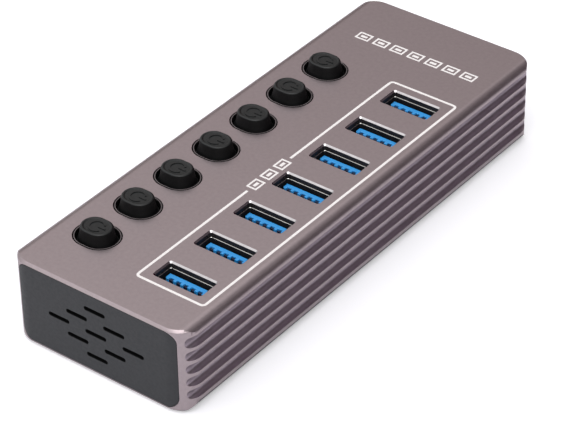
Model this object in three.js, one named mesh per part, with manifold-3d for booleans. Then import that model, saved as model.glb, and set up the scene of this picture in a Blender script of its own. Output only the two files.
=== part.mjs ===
// A seven-port desktop USB hub with one push switch per port.
// An extruded aluminium tube holds a circuit board on two pairs of ledges, and a moulded cap
// closes each end. Upright USB-A sockets and push buttons come out through the top.
// Units are millimetres. +X is across the hub, +Y runs from the vented end to the cable end,
// +Z is up, and the origin is under the middle of the hub on the surface that it stands on.

import * as THREE from "three";
import { mergeVertices } from "three/addons/utils/BufferGeometryUtils.js";
import Module from "manifold-3d";

const wasm = await Module();
wasm.setup();

// ---- Driving dimensions -------------------------------------------------------------------

const PORTS = 7;
const PITCH = 14;

const FOOT_HEIGHT = 0.6;
const FOOT_RADIUS = 4;
const FOOT_X = 18;
const FOOT_Y = 56;

const LENGTH = 135.1;
const WIDTH = 50;
const TUBE_HEIGHT = 21.9;
const TUBE_BOTTOM = FOOT_HEIGHT;
const TUBE_TOP = TUBE_BOTTOM + TUBE_HEIGHT;
const MIDDLE_Z = TUBE_BOTTOM + TUBE_HEIGHT / 2;
const EDGE_RADIUS = 2.3; // along the four long edges
const CORNER_RADIUS = 5.7; // of the four upright corners
const END_CHAMFER = 0.66;
const SIDE_WALL = 2.9;
const FLOOR_WALL = 1.6;
const ROOF_WALL = 1.3;
const HOLLOW_RADII = [1.7, 2.4]; // of the hollow's lower and upper corners

const GROOVES = 5;
const GROOVE_PITCH = 3.46;
const GROOVE_WIDTH = 2.65;
const GROOVE_DEPTH = 1.45;
const FIRST_GROOVE_Z = TUBE_TOP - 3.63;
const GROOVE_POWER = 2.6; // of the superellipse that the groove's section follows

const CAP_WIDTH = 44.4;
const CAP_HEIGHT = 20.5;
const CAP_CORNER = 3;
const CAP_SEAT = 2.3; // depth of the rebate that a cap's plate sits in
const CAP_GAP = 0.1;
const PLUG_LENGTH = 5;
const PLUG_WALL = 1.4;

const VENT_LENGTH = 5.9;
const VENT_WIDTH = 1;
const VENT_STEP_X = 5.28;
const VENT_STEP_Z = 3.15;

const BOARD_TOP = 6.8;
const BOARD_THICKNESS = 1.6;
const BOARD_LENGTH = 118;
const BOARD_WIDTH = 43.4;
const LEDGE_REACH = 1.2;
const LEDGE_HEIGHT = 1.1;
const SOLDER_GAP = 0.05; // between a part and the board that it stands on

const PORT_X = 12.15;
const FIRST_PORT_Y = -51.13;
const CUTOUT_LENGTH = 12.75;
const CUTOUT_WIDTH = 5.55;
const SOCKET_INNER = [12.5, 5.12];
const SOCKET_WALL = 0.3;
const SOCKET_RIM_DROP = 1.42; // from the top face down to the socket's rim
const TONGUE_LENGTH = 11.1;
const TONGUE_NEAR = -0.31;
const TONGUE_FAR = 1.53;
const TONGUE_DROP = 2.05;
const TONGUE_BASE = 4.5;
const NOTCHES = 5;
const NOTCH_PITCH = 2;
const NOTCH_WIDTH = 1.1;
const NOTCH_DEPTH = 0.75;

const BUTTON_X = -13.35;
const FIRST_BUTTON_Y = -50.5;
const BUTTON_HOLE = [11.6, 9.8];
const COLLAR_OUTER = [11.3, 9.5];
const COLLAR_INNER = [10.3, 8.5];
const COLLAR_DROP = 0.25;
const GUIDE_THICKNESS = 1.4;
const GUIDE_WIDTH = 13.2;
const BRIM = [9.9, 8.1];
const PAD = [7.8, 6.3];
const PAD_RISE = 2.7;
const SWITCH_SIZE = 8;
const SWITCH_HEIGHT = 7;
const PLUNGER = 3;
const TRAVEL = 1.8;

const UPSTREAM_X = 9;
const UPSTREAM_SIZE = [12, 12.4];
const UPSTREAM_LENGTH = 20;
const JACK_X = -11;
const JACK_SIZE = [9, 11];
const JACK_LENGTH = 14;
const JACK_BORE = 3.1;
const SOCKET_RECESS = 0.3; // of the two rear sockets behind the rear cap's face

// ---- Finishes -----------------------------------------------------------------------------

const finish = (color, roughness, metalness) =>
  new THREE.MeshStandardMaterial({ color, roughness, metalness });

const ANODISED = finish(0x9a8e91, 0.45, 1);
const BLACK_PLASTIC = finish(0x47484b, 0.55, 0);
const BUTTON_BLACK = finish(0x1c1c1e, 0.5, 0);
const BLUE_PLASTIC = finish(0x2f8fd8, 0.4, 0);
const SOCKET_STEEL = finish(0xc9cacc, 0.3, 1);
const BOARD_GREEN = finish(0x1d5a3a, 0.5, 0);
const CHIP_BLACK = finish(0x1a1a1a, 0.6, 0);
const CAN_STEEL = finish(0xb8babd, 0.35, 1);
const RUBBER = finish(0x202020, 0.9, 0);

// ---- Solids -------------------------------------------------------------------------------

// A closed three.js geometry as a solid that can be joined and cut.
function solid(geometry) {
  const bare = geometry.clone();
  bare.deleteAttribute("normal");
  bare.deleteAttribute("uv");
  const merged = mergeVertices(bare, 1e-4);
  return new wasm.Manifold(
    new wasm.Mesh({
      numProp: 3,
      vertProperties: merged.attributes.position.array,
      triVerts: new Uint32Array(merged.index.array),
    }),
  );
}

// A solid as a three.js geometry.
function surface(body) {
  const mesh = body.getMesh();
  const geometry = new THREE.BufferGeometry();
  geometry.setAttribute("position", new THREE.BufferAttribute(mesh.vertProperties, 3));
  geometry.setIndex(new THREE.BufferAttribute(mesh.triVerts, 1));
  geometry.computeVertexNormals();
  return geometry;
}

const join = (bodies) => bodies.reduce((all, body) => all.add(body));
const cut = (body, cutters) => cutters.reduce((left, cutter) => left.subtract(cutter), body);

// A box given by its lowest and highest corners.
function box([x0, y0, z0], [x1, y1, z1]) {
  const geometry = new THREE.BoxGeometry(x1 - x0, y1 - y0, z1 - z0);
  return solid(geometry.translate((x0 + x1) / 2, (y0 + y1) / 2, (z0 + z1) / 2));
}

// A box standing at height z0, centred on (x, y).
function post(x, y, [width, depth], z0, z1) {
  return box([x - width / 2, y - depth / 2, z0], [x + width / 2, y + depth / 2, z1]);
}

// A rectangle of width by height with its corners rounded, centred on the origin.
function roundedRectangle(width, height, radius) {
  const a = width / 2 - radius;
  const b = height / 2 - radius;
  const shape = new THREE.Shape();
  shape.absarc(a, b, radius, 0, Math.PI / 2);
  shape.absarc(-a, b, radius, Math.PI / 2, Math.PI);
  shape.absarc(-a, -b, radius, Math.PI, 1.5 * Math.PI);
  shape.absarc(a, -b, radius, 1.5 * Math.PI, 2 * Math.PI);
  return shape;
}

// A shape drawn on the ground, raised from height z0 to height z1.
function raised(shape, z0, z1, curveSegments = 6) {
  const options = { depth: z1 - z0, bevelEnabled: false, curveSegments };
  return solid(new THREE.ExtrudeGeometry(shape, options).translate(0, 0, z0));
}

// A shape drawn in X and Z, drawn out along Y from y0 to y1.
function drawnOut(shape, y0, y1, curveSegments = 6) {
  const options = { depth: y1 - y0, bevelEnabled: false, curveSegments };
  const geometry = new THREE.ExtrudeGeometry(shape, options);
  return solid(geometry.rotateX(Math.PI / 2).translate(0, y1, 0));
}

// The corners of a slot shape with round ends, of size [length, width], at height z.
function slotRing([length, width], z, steps = 10) {
  const radius = width / 2;
  const reach = length / 2 - radius;
  return Array.from({ length: 2 * steps + 2 }, (_, i) => {
    const right = i <= steps;
    const turn = right ? -0.5 + i / steps : -0.5 + (i - 1) / steps;
    const x = (right ? reach : -reach) + radius * Math.cos(Math.PI * turn);
    return new THREE.Vector3(x, radius * Math.sin(Math.PI * turn), z);
  });
}

// A closed solid through a stack of rings with the same number of corners, lowest ring first.
function loft(rings) {
  const count = rings[0].length;
  const corners = [...rings.flat()];
  const centre = (ring) => ring.reduce((sum, p) => sum.add(p), new THREE.Vector3()).divideScalar(count);
  corners.push(centre(rings[0]), centre(rings.at(-1)));
  const bottom = corners.length - 2;
  const top = corners.length - 1;
  const last = (rings.length - 1) * count;
  const index = [];
  for (let i = 0; i < count; i++) {
    const next = (i + 1) % count;
    index.push(bottom, next, i);
    index.push(top, last + i, last + next);
    for (let base = 0; base < last; base += count) {
      index.push(base + i, base + next, base + count + next);
      index.push(base + i, base + count + next, base + count + i);
    }
  }
  const geometry = new THREE.BufferGeometry().setFromPoints(corners);
  return solid(geometry.setIndex(index));
}

// A slot-shaped prism with round ends, centred on (x, y).
function slotPrism(x, y, size, z0, z1) {
  return loft([slotRing(size, z0), slotRing(size, z1)]).translate([x, y, 0]);
}

// ---- The part -----------------------------------------------------------------------------

const hub = new THREE.Group();

function place(name, body, material) {
  const mesh = new THREE.Mesh(surface(body), material);
  mesh.name = name;
  hub.add(mesh);
}

const places = Array.from({ length: PORTS }, (_, i) => ({
  number: i + 1,
  portY: FIRST_PORT_Y + i * PITCH,
  buttonY: FIRST_BUTTON_Y + i * PITCH,
}));

// One groove's section, from its lower lip in and round to its upper lip.
function grooveProfile(centreZ) {
  const steps = 8;
  return Array.from({ length: steps + 1 }, (_, i) => {
    const turn = Math.PI * (i / steps - 0.5);
    const bend = (value) => Math.sign(value) * Math.abs(value) ** (2 / GROOVE_POWER);
    const depth = GROOVE_DEPTH * bend(Math.cos(turn));
    return new THREE.Vector2(WIDTH / 2 - depth, centreZ + (GROOVE_WIDTH / 2) * bend(Math.sin(turn)));
  });
}

// A quarter circle of the tube's section, starting at the angle given in quarter turns.
function edgeArc(x, z, quarter) {
  const steps = 4;
  return Array.from({ length: steps + 1 }, (_, i) => {
    const turn = (Math.PI / 2) * (quarter + i / steps);
    return new THREE.Vector2(x + EDGE_RADIUS * Math.cos(turn), z + EDGE_RADIUS * Math.sin(turn));
  });
}

// Points of the hollow's rounded corner under (x, z), clockwise. side is 1 at the roof.
function cornerArc(x, z, radius, side) {
  const steps = 4;
  return Array.from({ length: steps + 1 }, (_, i) => {
    const turn = (Math.PI / 2) * (side > 0 ? 1 - i / steps : -i / steps);
    return [x - radius + radius * Math.cos(turn), z - side * radius + radius * Math.sin(turn)];
  });
}

// The tube's section: grooved sides, and a hollow with two ledges a side for the board.
function tubeSection() {
  const x = WIDTH / 2 - EDGE_RADIUS;
  const right = edgeArc(x, TUBE_BOTTOM + EDGE_RADIUS, 3);
  for (let i = GROOVES - 1; i >= 0; i--) {
    right.push(...grooveProfile(FIRST_GROOVE_Z - i * GROOVE_PITCH));
  }
  right.push(...edgeArc(x, TUBE_TOP - EDGE_RADIUS, 0));
  const left = right.map((p) => new THREE.Vector2(-p.x, p.y)).reverse();
  const section = new THREE.Shape([...right, ...left]);

  const wall = WIDTH / 2 - SIDE_WALL;
  const ledge = wall - LEDGE_REACH;
  const slotTop = BOARD_TOP + CAP_GAP;
  const slotBottom = BOARD_TOP - BOARD_THICKNESS - CAP_GAP;
  const inside = [
    ...cornerArc(wall, TUBE_TOP - ROOF_WALL, HOLLOW_RADII[1], 1),
    [wall, slotTop + LEDGE_HEIGHT],
    [ledge, slotTop + LEDGE_HEIGHT],
    [ledge, slotTop],
    [wall, slotTop],
    [wall, slotBottom],
    [ledge, slotBottom],
    [ledge, slotBottom - LEDGE_HEIGHT],
    [wall, slotBottom - LEDGE_HEIGHT],
    ...cornerArc(wall, TUBE_BOTTOM + FLOOR_WALL, HOLLOW_RADII[0], -1),
  ].map(([px, pz]) => new THREE.Vector2(px, pz));
  const mirrored = inside.map((p) => new THREE.Vector2(-p.x, p.y)).reverse();
  section.holes.push(new THREE.Path([...inside, ...mirrored]));
  return section;
}

// The upright prism that rounds the tube's four corners and chamfers its two ends.
function cornerPrism() {
  const outline = roundedRectangle(
    WIDTH - 2 * END_CHAMFER,
    LENGTH - 2 * END_CHAMFER,
    CORNER_RADIUS - END_CHAMFER,
  );
  const geometry = new THREE.ExtrudeGeometry(outline, {
    depth: TUBE_HEIGHT - 2 * END_CHAMFER,
    bevelSize: END_CHAMFER,
    bevelThickness: END_CHAMFER,
    bevelSegments: 1,
    curveSegments: 7,
  });
  return solid(geometry.translate(0, 0, TUBE_BOTTOM + END_CHAMFER));
}

// A rounded rectangle in X and Z about the middle of the tube, drawn out from y0 to y1.
function endBlock(width, height, radius, y0, y1) {
  return drawnOut(roundedRectangle(width, height, radius), y0, y1, 5).translate([0, 0, MIDDLE_Z]);
}

function housing() {
  const tube = drawnOut(tubeSection(), -LENGTH / 2, LENGTH / 2);
  const cutters = places.flatMap(({ portY, buttonY }) => [
    post(PORT_X, portY, [CUTOUT_LENGTH, CUTOUT_WIDTH], TUBE_TOP - 3, TUBE_TOP + 1),
    slotPrism(BUTTON_X, buttonY, BUTTON_HOLE, TUBE_TOP - 3, TUBE_TOP + 1),
  ]);
  const wall = WIDTH / 2 - SIDE_WALL;
  const low = TUBE_BOTTOM + FLOOR_WALL;
  const high = TUBE_TOP - ROOF_WALL;
  for (const end of [-1, 1]) {
    const face = end * (LENGTH / 2 + 1);
    const seat = end * (LENGTH / 2 - CAP_SEAT);
    const relief = end * (LENGTH / 2 - CAP_SEAT - PLUG_LENGTH - 1);
    const seatY = [Math.min(face, seat), Math.max(face, seat)];
    const reliefY = [Math.min(seat, relief), Math.max(seat, relief)];
    cutters.push(endBlock(CAP_WIDTH + 2 * CAP_GAP, CAP_HEIGHT + 2 * CAP_GAP, CAP_CORNER, ...seatY));
    cutters.push(box([-wall, reliefY[0], low], [wall, reliefY[1], high]));
  }
  return cut(tube.intersect(cornerPrism()), cutters);
}

// A cap without its openings: a plate flush with the tube's rounded end, and a hollow plug.
// Made at the -Y end.
function plainCap() {
  const face = -LENGTH / 2;
  const back = face + CAP_SEAT - CAP_GAP;
  const width = WIDTH - 2 * SIDE_WALL - 4 * CAP_GAP;
  const height = TUBE_HEIGHT - FLOOR_WALL - ROOF_WALL - 4 * CAP_GAP;
  const plugZ = (FLOOR_WALL - ROOF_WALL) / 2;
  const plate = endBlock(CAP_WIDTH, CAP_HEIGHT, CAP_CORNER, face, back);
  const radius = HOLLOW_RADII[1];
  const plug = endBlock(width, height, radius, back - 0.5, back + PLUG_LENGTH);
  const hollow = endBlock(
    width - 2 * PLUG_WALL,
    height - 2 * PLUG_WALL,
    radius - PLUG_WALL,
    back,
    back + PLUG_LENGTH + 1,
  );
  const hollowPlug = plug.translate([0, 0, plugZ]).subtract(hollow.translate([0, 0, plugZ]));
  return plate.add(hollowPlug).intersect(cornerPrism());
}

// The vents make a diamond: rows of 1, 2, 3, 2 and 1.
function ventCutters() {
  const cutters = [];
  for (let row = -2; row <= 2; row++) {
    const count = 3 - Math.abs(row);
    for (let i = 0; i < count; i++) {
      const x = (2 * i - count + 1) * VENT_STEP_X;
      const slot = endBlock(VENT_LENGTH, VENT_WIDTH, VENT_WIDTH / 2 - 0.01, -LENGTH / 2 - 1, -LENGTH / 2 + 4);
      cutters.push(slot.translate([x, 0, row * VENT_STEP_Z]));
    }
  }
  return cutters;
}

function rearCap() {
  const clearance = 0.2;
  const opening = (x, [width, height]) =>
    box(
      [x - width / 2 - clearance, LENGTH / 2 - 4, BOARD_TOP - clearance],
      [x + width / 2 + clearance, LENGTH / 2 + 1, BOARD_TOP + height + clearance],
    );
  return cut(plainCap().rotate([0, 0, 180]), [
    opening(UPSTREAM_X, UPSTREAM_SIZE),
    opening(JACK_X, JACK_SIZE),
  ]);
}

function mainBoard() {
  const outline = roundedRectangle(BOARD_WIDTH, BOARD_LENGTH, 0.8);
  return raised(outline, BOARD_TOP - BOARD_THICKNESS, BOARD_TOP, 2);
}

// A USB-A socket's pressed steel shell, open at the top.
function socketShell(y) {
  const [length, width] = SOCKET_INNER;
  const shape = roundedRectangle(length + 2 * SOCKET_WALL, width + 2 * SOCKET_WALL, 0.8);
  shape.holes.push(roundedRectangle(length, width, 0.5));
  const shell = raised(shape, BOARD_TOP + SOLDER_GAP, TUBE_TOP - SOCKET_RIM_DROP, 2);
  return shell.translate([PORT_X, y, 0]);
}

// The blue insulator: a base block, and a tongue with a notch for each contact on its near face.
function socketTongue(y) {
  const end = TONGUE_LENGTH / 2;
  const outline = [
    [end, TONGUE_NEAR],
    [end, TONGUE_FAR],
    [-end, TONGUE_FAR],
    [-end, TONGUE_NEAR],
  ];
  for (let i = 0; i < NOTCHES; i++) {
    const x = (i - (NOTCHES - 1) / 2) * NOTCH_PITCH;
    outline.push([x - NOTCH_WIDTH / 2, TONGUE_NEAR]);
    outline.push([x - NOTCH_WIDTH / 2, TONGUE_NEAR + NOTCH_DEPTH]);
    outline.push([x + NOTCH_WIDTH / 2, TONGUE_NEAR + NOTCH_DEPTH]);
    outline.push([x + NOTCH_WIDTH / 2, TONGUE_NEAR]);
  }
  const shape = new THREE.Shape(outline.map(([px, py]) => new THREE.Vector2(px, py)));
  const baseTop = BOARD_TOP + TONGUE_BASE;
  const [length, width] = SOCKET_INNER;
  const blade = raised(shape, baseTop - 0.5, TUBE_TOP - TONGUE_DROP);
  const baseShape = roundedRectangle(length - 0.2, width - 0.2, 0.5);
  const base = raised(baseShape, BOARD_TOP + SOLDER_GAP, baseTop, 2);
  return base.add(blade).translate([PORT_X, y, 0]);
}

// The strip under the roof whose collars line the button holes and guide the buttons.
function buttonGuide() {
  const top = TUBE_TOP - ROOF_WALL - CAP_GAP;
  const first = places[0].buttonY;
  const last = places.at(-1).buttonY;
  const strip = box(
    [BUTTON_X - GUIDE_WIDTH / 2, first - 7, top - GUIDE_THICKNESS],
    [BUTTON_X + GUIDE_WIDTH / 2, last + 7, top],
  );
  const bottom = top - GUIDE_THICKNESS;
  const collars = places.map(({ buttonY }) =>
    slotPrism(BUTTON_X, buttonY, COLLAR_OUTER, bottom, TUBE_TOP - COLLAR_DROP),
  );
  const bores = places.map(({ buttonY }) =>
    slotPrism(BUTTON_X, buttonY, COLLAR_INNER, bottom - 1, TUBE_TOP + 1),
  );
  return cut(join([strip, ...collars]), bores);
}

// A button cap: a stop lip below the guide, a brim in the collar, and a pad above the top face.
function buttonCap(y) {
  const stop = TUBE_TOP - ROOF_WALL - 2 * CAP_GAP - GUIDE_THICKNESS;
  const bottom = stop - 1;
  const rings = [
    slotRing([BRIM[0] + 1.2, BRIM[1] + 1.2], bottom),
    slotRing([BRIM[0] + 1.2, BRIM[1] + 1.2], stop),
    slotRing(BRIM, stop),
    slotRing(BRIM, TUBE_TOP - 0.5),
    slotRing([BRIM[0] - 0.9, BRIM[1] - 0.8], TUBE_TOP - 0.25),
    slotRing([PAD[0] + 0.4, PAD[1] + 0.4], TUBE_TOP + 0.6),
    slotRing([PAD[0] + 0.2, PAD[1] + 0.2], TUBE_TOP + PAD_RISE - 0.5),
    slotRing([PAD[0] - 0.8, PAD[1] - 0.8], TUBE_TOP + PAD_RISE),
  ];
  const socket = post(0, 0, [PLUNGER + 0.2, PLUNGER + 0.2], bottom - 1, TUBE_TOP - 2);
  return loft(rings).subtract(socket).translate([BUTTON_X, y, 0]);
}

const SWITCH_TOP = BOARD_TOP + SWITCH_HEIGHT;
const PLUNGER_SUNK = 3.2;

function switchBody(y) {
  const block = post(BUTTON_X, y, [SWITCH_SIZE, SWITCH_SIZE], BOARD_TOP + SOLDER_GAP, SWITCH_TOP);
  const well = [PLUNGER + 0.4, PLUNGER + 0.4];
  const wellFloor = SWITCH_TOP - PLUNGER_SUNK - TRAVEL - 0.5;
  return block.subtract(post(BUTTON_X, y, well, wellFloor, SWITCH_TOP + 1));
}

function switchPlunger(y) {
  return post(BUTTON_X, y, [PLUNGER, PLUNGER], SWITCH_TOP - PLUNGER_SUNK, TUBE_TOP - 2.1);
}

// The upstream USB-B socket's shell: a square mouth with a narrower step on top.
function upstreamOutline(inset) {
  const half = UPSTREAM_SIZE[0] / 2 - inset;
  const step = 4.4 - inset;
  const shoulder = 9.2 - inset;
  const top = UPSTREAM_SIZE[1] - inset;
  return [
    [half, inset],
    [half, shoulder],
    [step, shoulder],
    [step, top],
    [-step, top],
    [-step, shoulder],
    [-half, shoulder],
    [-half, inset],
  ].map(([x, z]) => new THREE.Vector2(x, z));
}

function upstreamShell() {
  const shape = new THREE.Shape(upstreamOutline(SOLDER_GAP));
  shape.holes.push(new THREE.Path(upstreamOutline(SOCKET_WALL + 0.1)));
  const face = LENGTH / 2 - SOCKET_RECESS;
  return drawnOut(shape, face - UPSTREAM_LENGTH, face).translate([UPSTREAM_X, 0, BOARD_TOP]);
}

// The upstream insulator: a block at the back, a thick lower tongue and a thin upper one.
function upstreamInsert() {
  const face = LENGTH / 2 - SOCKET_RECESS;
  const back = new THREE.Shape(upstreamOutline(SOCKET_WALL + 0.3));
  const block = drawnOut(back, face - UPSTREAM_LENGTH + 0.3, face - 10).translate([
    UPSTREAM_X,
    0,
    BOARD_TOP,
  ]);
  const tongue = (halfWidth, z0, z1) =>
    box(
      [UPSTREAM_X - halfWidth, face - 11, BOARD_TOP + z0],
      [UPSTREAM_X + halfWidth, face - 1.5, BOARD_TOP + z1],
    );
  return join([block, tongue(2.8, 3, 6.2), tongue(3.2, 9.6, 10.8)]);
}

// A disc-shaped or ring-shaped profile turned about an axis along Y, from y0 to y1.
function rod(x, z, radius, y0, y1) {
  const geometry = new THREE.CylinderGeometry(radius, radius, y1 - y0, 20);
  return solid(geometry.translate(x, (y0 + y1) / 2, z));
}

const JACK_Z = BOARD_TOP + 6.3;

function jackBody() {
  const face = LENGTH / 2 - SOCKET_RECESS;
  const block = post(
    JACK_X,
    face - JACK_LENGTH / 2,
    [JACK_SIZE[0], JACK_LENGTH],
    BOARD_TOP + SOLDER_GAP,
    BOARD_TOP + JACK_SIZE[1],
  );
  return block.subtract(rod(JACK_X, JACK_Z, JACK_BORE, face - 10, face + 1));
}

function jackPin() {
  const face = LENGTH / 2 - SOCKET_RECESS;
  return rod(JACK_X, JACK_Z, 1, face - 9.9, face - 1.2);
}

// Round parts standing on the ground or on the board.
function drum(x, y, radius, z0, z1, sides = 20) {
  const geometry = new THREE.CylinderGeometry(radius, radius, z1 - z0, sides);
  return solid(geometry.rotateX(Math.PI / 2).translate(x, y, (z0 + z1) / 2));
}

function chip(x, y, size, height) {
  return post(x, y, size, BOARD_TOP + SOLDER_GAP, BOARD_TOP + height);
}

place("housing", housing(), ANODISED);
place("vented_end_cap", cut(plainCap(), ventCutters()), BLACK_PLASTIC);
place("cable_end_cap", rearCap(), BLACK_PLASTIC);
place("main_board", mainBoard(), BOARD_GREEN);
place("button_guide", buttonGuide(), BUTTON_BLACK);

for (const { number, portY, buttonY } of places) {
  place(`port_shell_${number}`, socketShell(portY), SOCKET_STEEL);
  place(`port_tongue_${number}`, socketTongue(portY), BLUE_PLASTIC);
  place(`button_${number}`, buttonCap(buttonY), BUTTON_BLACK);
  place(`switch_body_${number}`, switchBody(buttonY), CHIP_BLACK);
  place(`switch_plunger_${number}`, switchPlunger(buttonY), BUTTON_BLACK);
}

place("upstream_shell", upstreamShell(), SOCKET_STEEL);
place("upstream_insert", upstreamInsert(), BLUE_PLASTIC);
place("power_jack_body", jackBody(), CHIP_BLACK);
place("power_jack_pin", jackPin(), SOCKET_STEEL);

const MIDDLE_COLUMN_X = -1.5;
place("hub_chip_1", chip(MIDDLE_COLUMN_X, -24, [9, 9], 1), CHIP_BLACK);
place("hub_chip_2", chip(MIDDLE_COLUMN_X, 14, [9, 9], 1), CHIP_BLACK);
place("crystal", chip(MIDDLE_COLUMN_X, -5, [3.2, 11], 3.5), CAN_STEEL);
place("inductor", chip(MIDDLE_COLUMN_X, 30, [7, 7], 4), CHIP_BLACK);
place("regulator", chip(-17, 46, [6.5, 7], 1.8), CHIP_BLACK);
place(
  "capacitor_1",
  drum(MIDDLE_COLUMN_X, -44, 3.15, BOARD_TOP + SOLDER_GAP, BOARD_TOP + 7.7),
  CAN_STEEL,
);
place(
  "capacitor_2",
  drum(-1.5, 45, 3.15, BOARD_TOP + SOLDER_GAP, BOARD_TOP + 7.7),
  CAN_STEEL,
);

let footNumber = 0;
for (const x of [-FOOT_X, FOOT_X]) {
  for (const y of [-FOOT_Y, FOOT_Y]) {
    footNumber += 1;
    place(`foot_${footNumber}`, drum(x, y, FOOT_RADIUS, 0, FOOT_HEIGHT - 0.02, 24), RUBBER);
  }
}

export default hub;
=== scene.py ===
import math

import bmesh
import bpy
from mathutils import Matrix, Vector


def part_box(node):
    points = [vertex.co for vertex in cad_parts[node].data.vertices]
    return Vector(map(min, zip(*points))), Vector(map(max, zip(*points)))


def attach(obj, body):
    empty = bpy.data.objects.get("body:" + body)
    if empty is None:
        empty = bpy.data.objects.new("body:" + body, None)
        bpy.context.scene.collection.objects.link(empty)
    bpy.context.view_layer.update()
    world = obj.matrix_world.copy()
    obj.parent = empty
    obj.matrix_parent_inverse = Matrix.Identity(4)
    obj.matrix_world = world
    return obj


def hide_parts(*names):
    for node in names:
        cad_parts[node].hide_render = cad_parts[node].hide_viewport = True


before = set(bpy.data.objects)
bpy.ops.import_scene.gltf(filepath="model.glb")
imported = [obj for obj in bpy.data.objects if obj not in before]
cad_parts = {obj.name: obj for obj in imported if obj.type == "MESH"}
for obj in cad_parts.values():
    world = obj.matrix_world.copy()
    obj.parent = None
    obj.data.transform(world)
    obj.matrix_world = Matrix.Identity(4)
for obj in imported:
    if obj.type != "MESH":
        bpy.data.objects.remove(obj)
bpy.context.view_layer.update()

# Looks for a seven-port USB hub with a push button beside each port.
# Meshes are drawn in millimetres in the hub's own frame and scaled to metres when they are done.
# Materials work in metres, on the coordinates of the finished objects.
# +X runs from the buttons to the ports, +Y from the vented end to the cable end, +Z up.

MM = 0.001

# ---- Sizes, in millimetres ------------------------------------------------------------------

PORT_NUMBERS = range(1, 8)


def node_box(node):
    """Lowest and highest corner of a CAD node, in millimetres."""
    low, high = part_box(node)
    return low / MM, high / MM


def node_centre(node):
    low, high = node_box(node)
    return (low + high) / 2


HOUSING_LOW, HOUSING_HIGH = node_box("housing")
BOTTOM = HOUSING_LOW.z
TOP = HOUSING_HIGH.z
HALF_WIDTH = HOUSING_HIGH.x
HALF_LENGTH = HOUSING_HIGH.y
MIDDLE = (TOP + BOTTOM) / 2
BOARD_TOP = node_box("main_board")[1].z

# The tube's edges: the long upper ones are part of an ellipse, and each end has two chamfers.
EDGE_REACH = 2.5
EDGE_DROP = 1.85
LOWER_EDGE_RADIUS = 2.8
CORNER_RADIUS = 5.7
END_CHAMFER = 0.66
LOWER_CHAMFER = 0.36

# The tube's hollow, and the ledges that hold the board.
SIDE_WALL = 2.9
FLOOR_WALL = 1.6
ROOF_WALL = 1.3
HOLLOW_FLOOR_RADIUS = 1.7
HOLLOW_ROOF_RADIUS = 2.4
LEDGE_REACH = 1.2
LEDGE_HEIGHT = 1.1
BOARD_SLACK = 0.1
BOARD_SLOT = 1.7

# The grooves in the sides, counted from the top.
GROOVE_COUNT = 5
GROOVE_PITCH = 3.46
GROOVE_HALF_WIDTH = 1.325
GROOVE_DEPTH = 1.45
GROOVE_POWER = 2.6
FIRST_GROOVE_DROP = 3.63
FIRST_GROOVE_RISE = 0.3
LIP_RADIUS = 0.13

# How far in from the sides the painted shade of the grooves and edges reaches, and how far a face
# must turn down to get the painted shade under the edge.
GROOVE_ZONE = 2
EDGE_ZONE = 3.4
UNDER_SLOPE = -0.21

# The end caps: a plate in a seat, and a hollow plug that goes into the tube.
CAP_WIDTH = 44.4
CAP_HEIGHT = 20.5
CAP_CORNER = 3.0
CAP_SEAT = 2.3
CAP_GAP = 0.1
CAP_BEVEL = 0.1
PLUG_LENGTH = 5
PLUG_WALL = 1.4
PLUG_CORNER = 2.4
PLUG_RELIEF = 6
SOCKET_GAP = 0.2

# The vents make a diamond of slots: rows of one, two, three, two and one.
VENT_SIZE = (5.9, 1.0)
VENT_PITCH = 5.28
VENT_ROW_PITCH = 3.15
LONGEST_VENT_ROW = 3
VENT_FLARE = 0.5

# The USB-A sockets.
CUTOUT = (12.85, 5.65)
CUTOUT_CORNER = 0.45
CUTOUT_CHAMFER = 0.36
ROOF_CUT_DEPTH = 4
SHELL_INNER = (12.5, 5.12)
SHELL_CORNER = 0.45
SHELL_WALL = 0.3
SHELL_EASE = 0.08
RIM_DROP = 1.42
TONGUE_DROP = 2.05
TONGUE_NEAR, TONGUE_FAR = -0.31, 1.53
TONGUE_HALF_WIDTH = 5.55
TONGUE_CORNER = 0.4
TONGUE_BEVEL = 0.06
SOCKET_BASE_HEIGHT = 4.5
NOTCH_COUNT = 5
NOTCH_PITCH = 2.0
NOTCH_HALF_WIDTH = 0.6
NOTCH_DEPTH = 0.75
SOLDER_GAP = 0.05

# The buttons, and the holes and collars round them.
BUTTON_HOLE = (11.6, 9.8)
HOLE_CHAMFER = 0.08
COLLAR_OUTER = (11.3, 9.5)
COLLAR_DROP = 0.03
STRIP_GAP = 0.2
BRIM_SIZE = (9.9, 8.1)
PAD_SIZE = (7.8, 6.3)
PAD_RISE = 2.7
LIP_GROWTH, LIP_HEIGHT = 0.6, 1.0
PLUNGER_WELL = 3.2

# ---- Shapes ---------------------------------------------------------------------------------


def rounded_rectangle(width, height, radius, steps=8):
    """Points anticlockwise round a rectangle with rounded corners, centred on the origin."""
    points = []
    for corner, (side_x, side_y) in enumerate(((1, 1), (-1, 1), (-1, -1), (1, -1))):
        for i in range(steps + 1):
            angle = math.radians(90 * (corner + i / steps))
            points.append(
                (
                    side_x * (width / 2 - radius) + radius * math.cos(angle),
                    side_y * (height / 2 - radius) + radius * math.sin(angle),
                )
            )
    return points


def slot_outline(size, grow=0.0, steps=14):
    """A slot shape with round ends, grown outwards all round by grow."""
    length, width = size[0] + 2 * grow, size[1] + 2 * grow
    hair = 0.002  # keeps the points of the two half circles apart
    return rounded_rectangle(length, width, min(length, width) / 2 - hair, steps)


def level(outline, z, x=0.0, y=0.0):
    """An outline laid flat at height z."""
    return [Vector((px + x, py + y, z)) for px, py in outline]


def upright(outline, y, z=0.0):
    """An outline of X and Z points, stood up in the plane at y."""
    return [Vector((px, y, pz + z)) for px, pz in outline]


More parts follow.
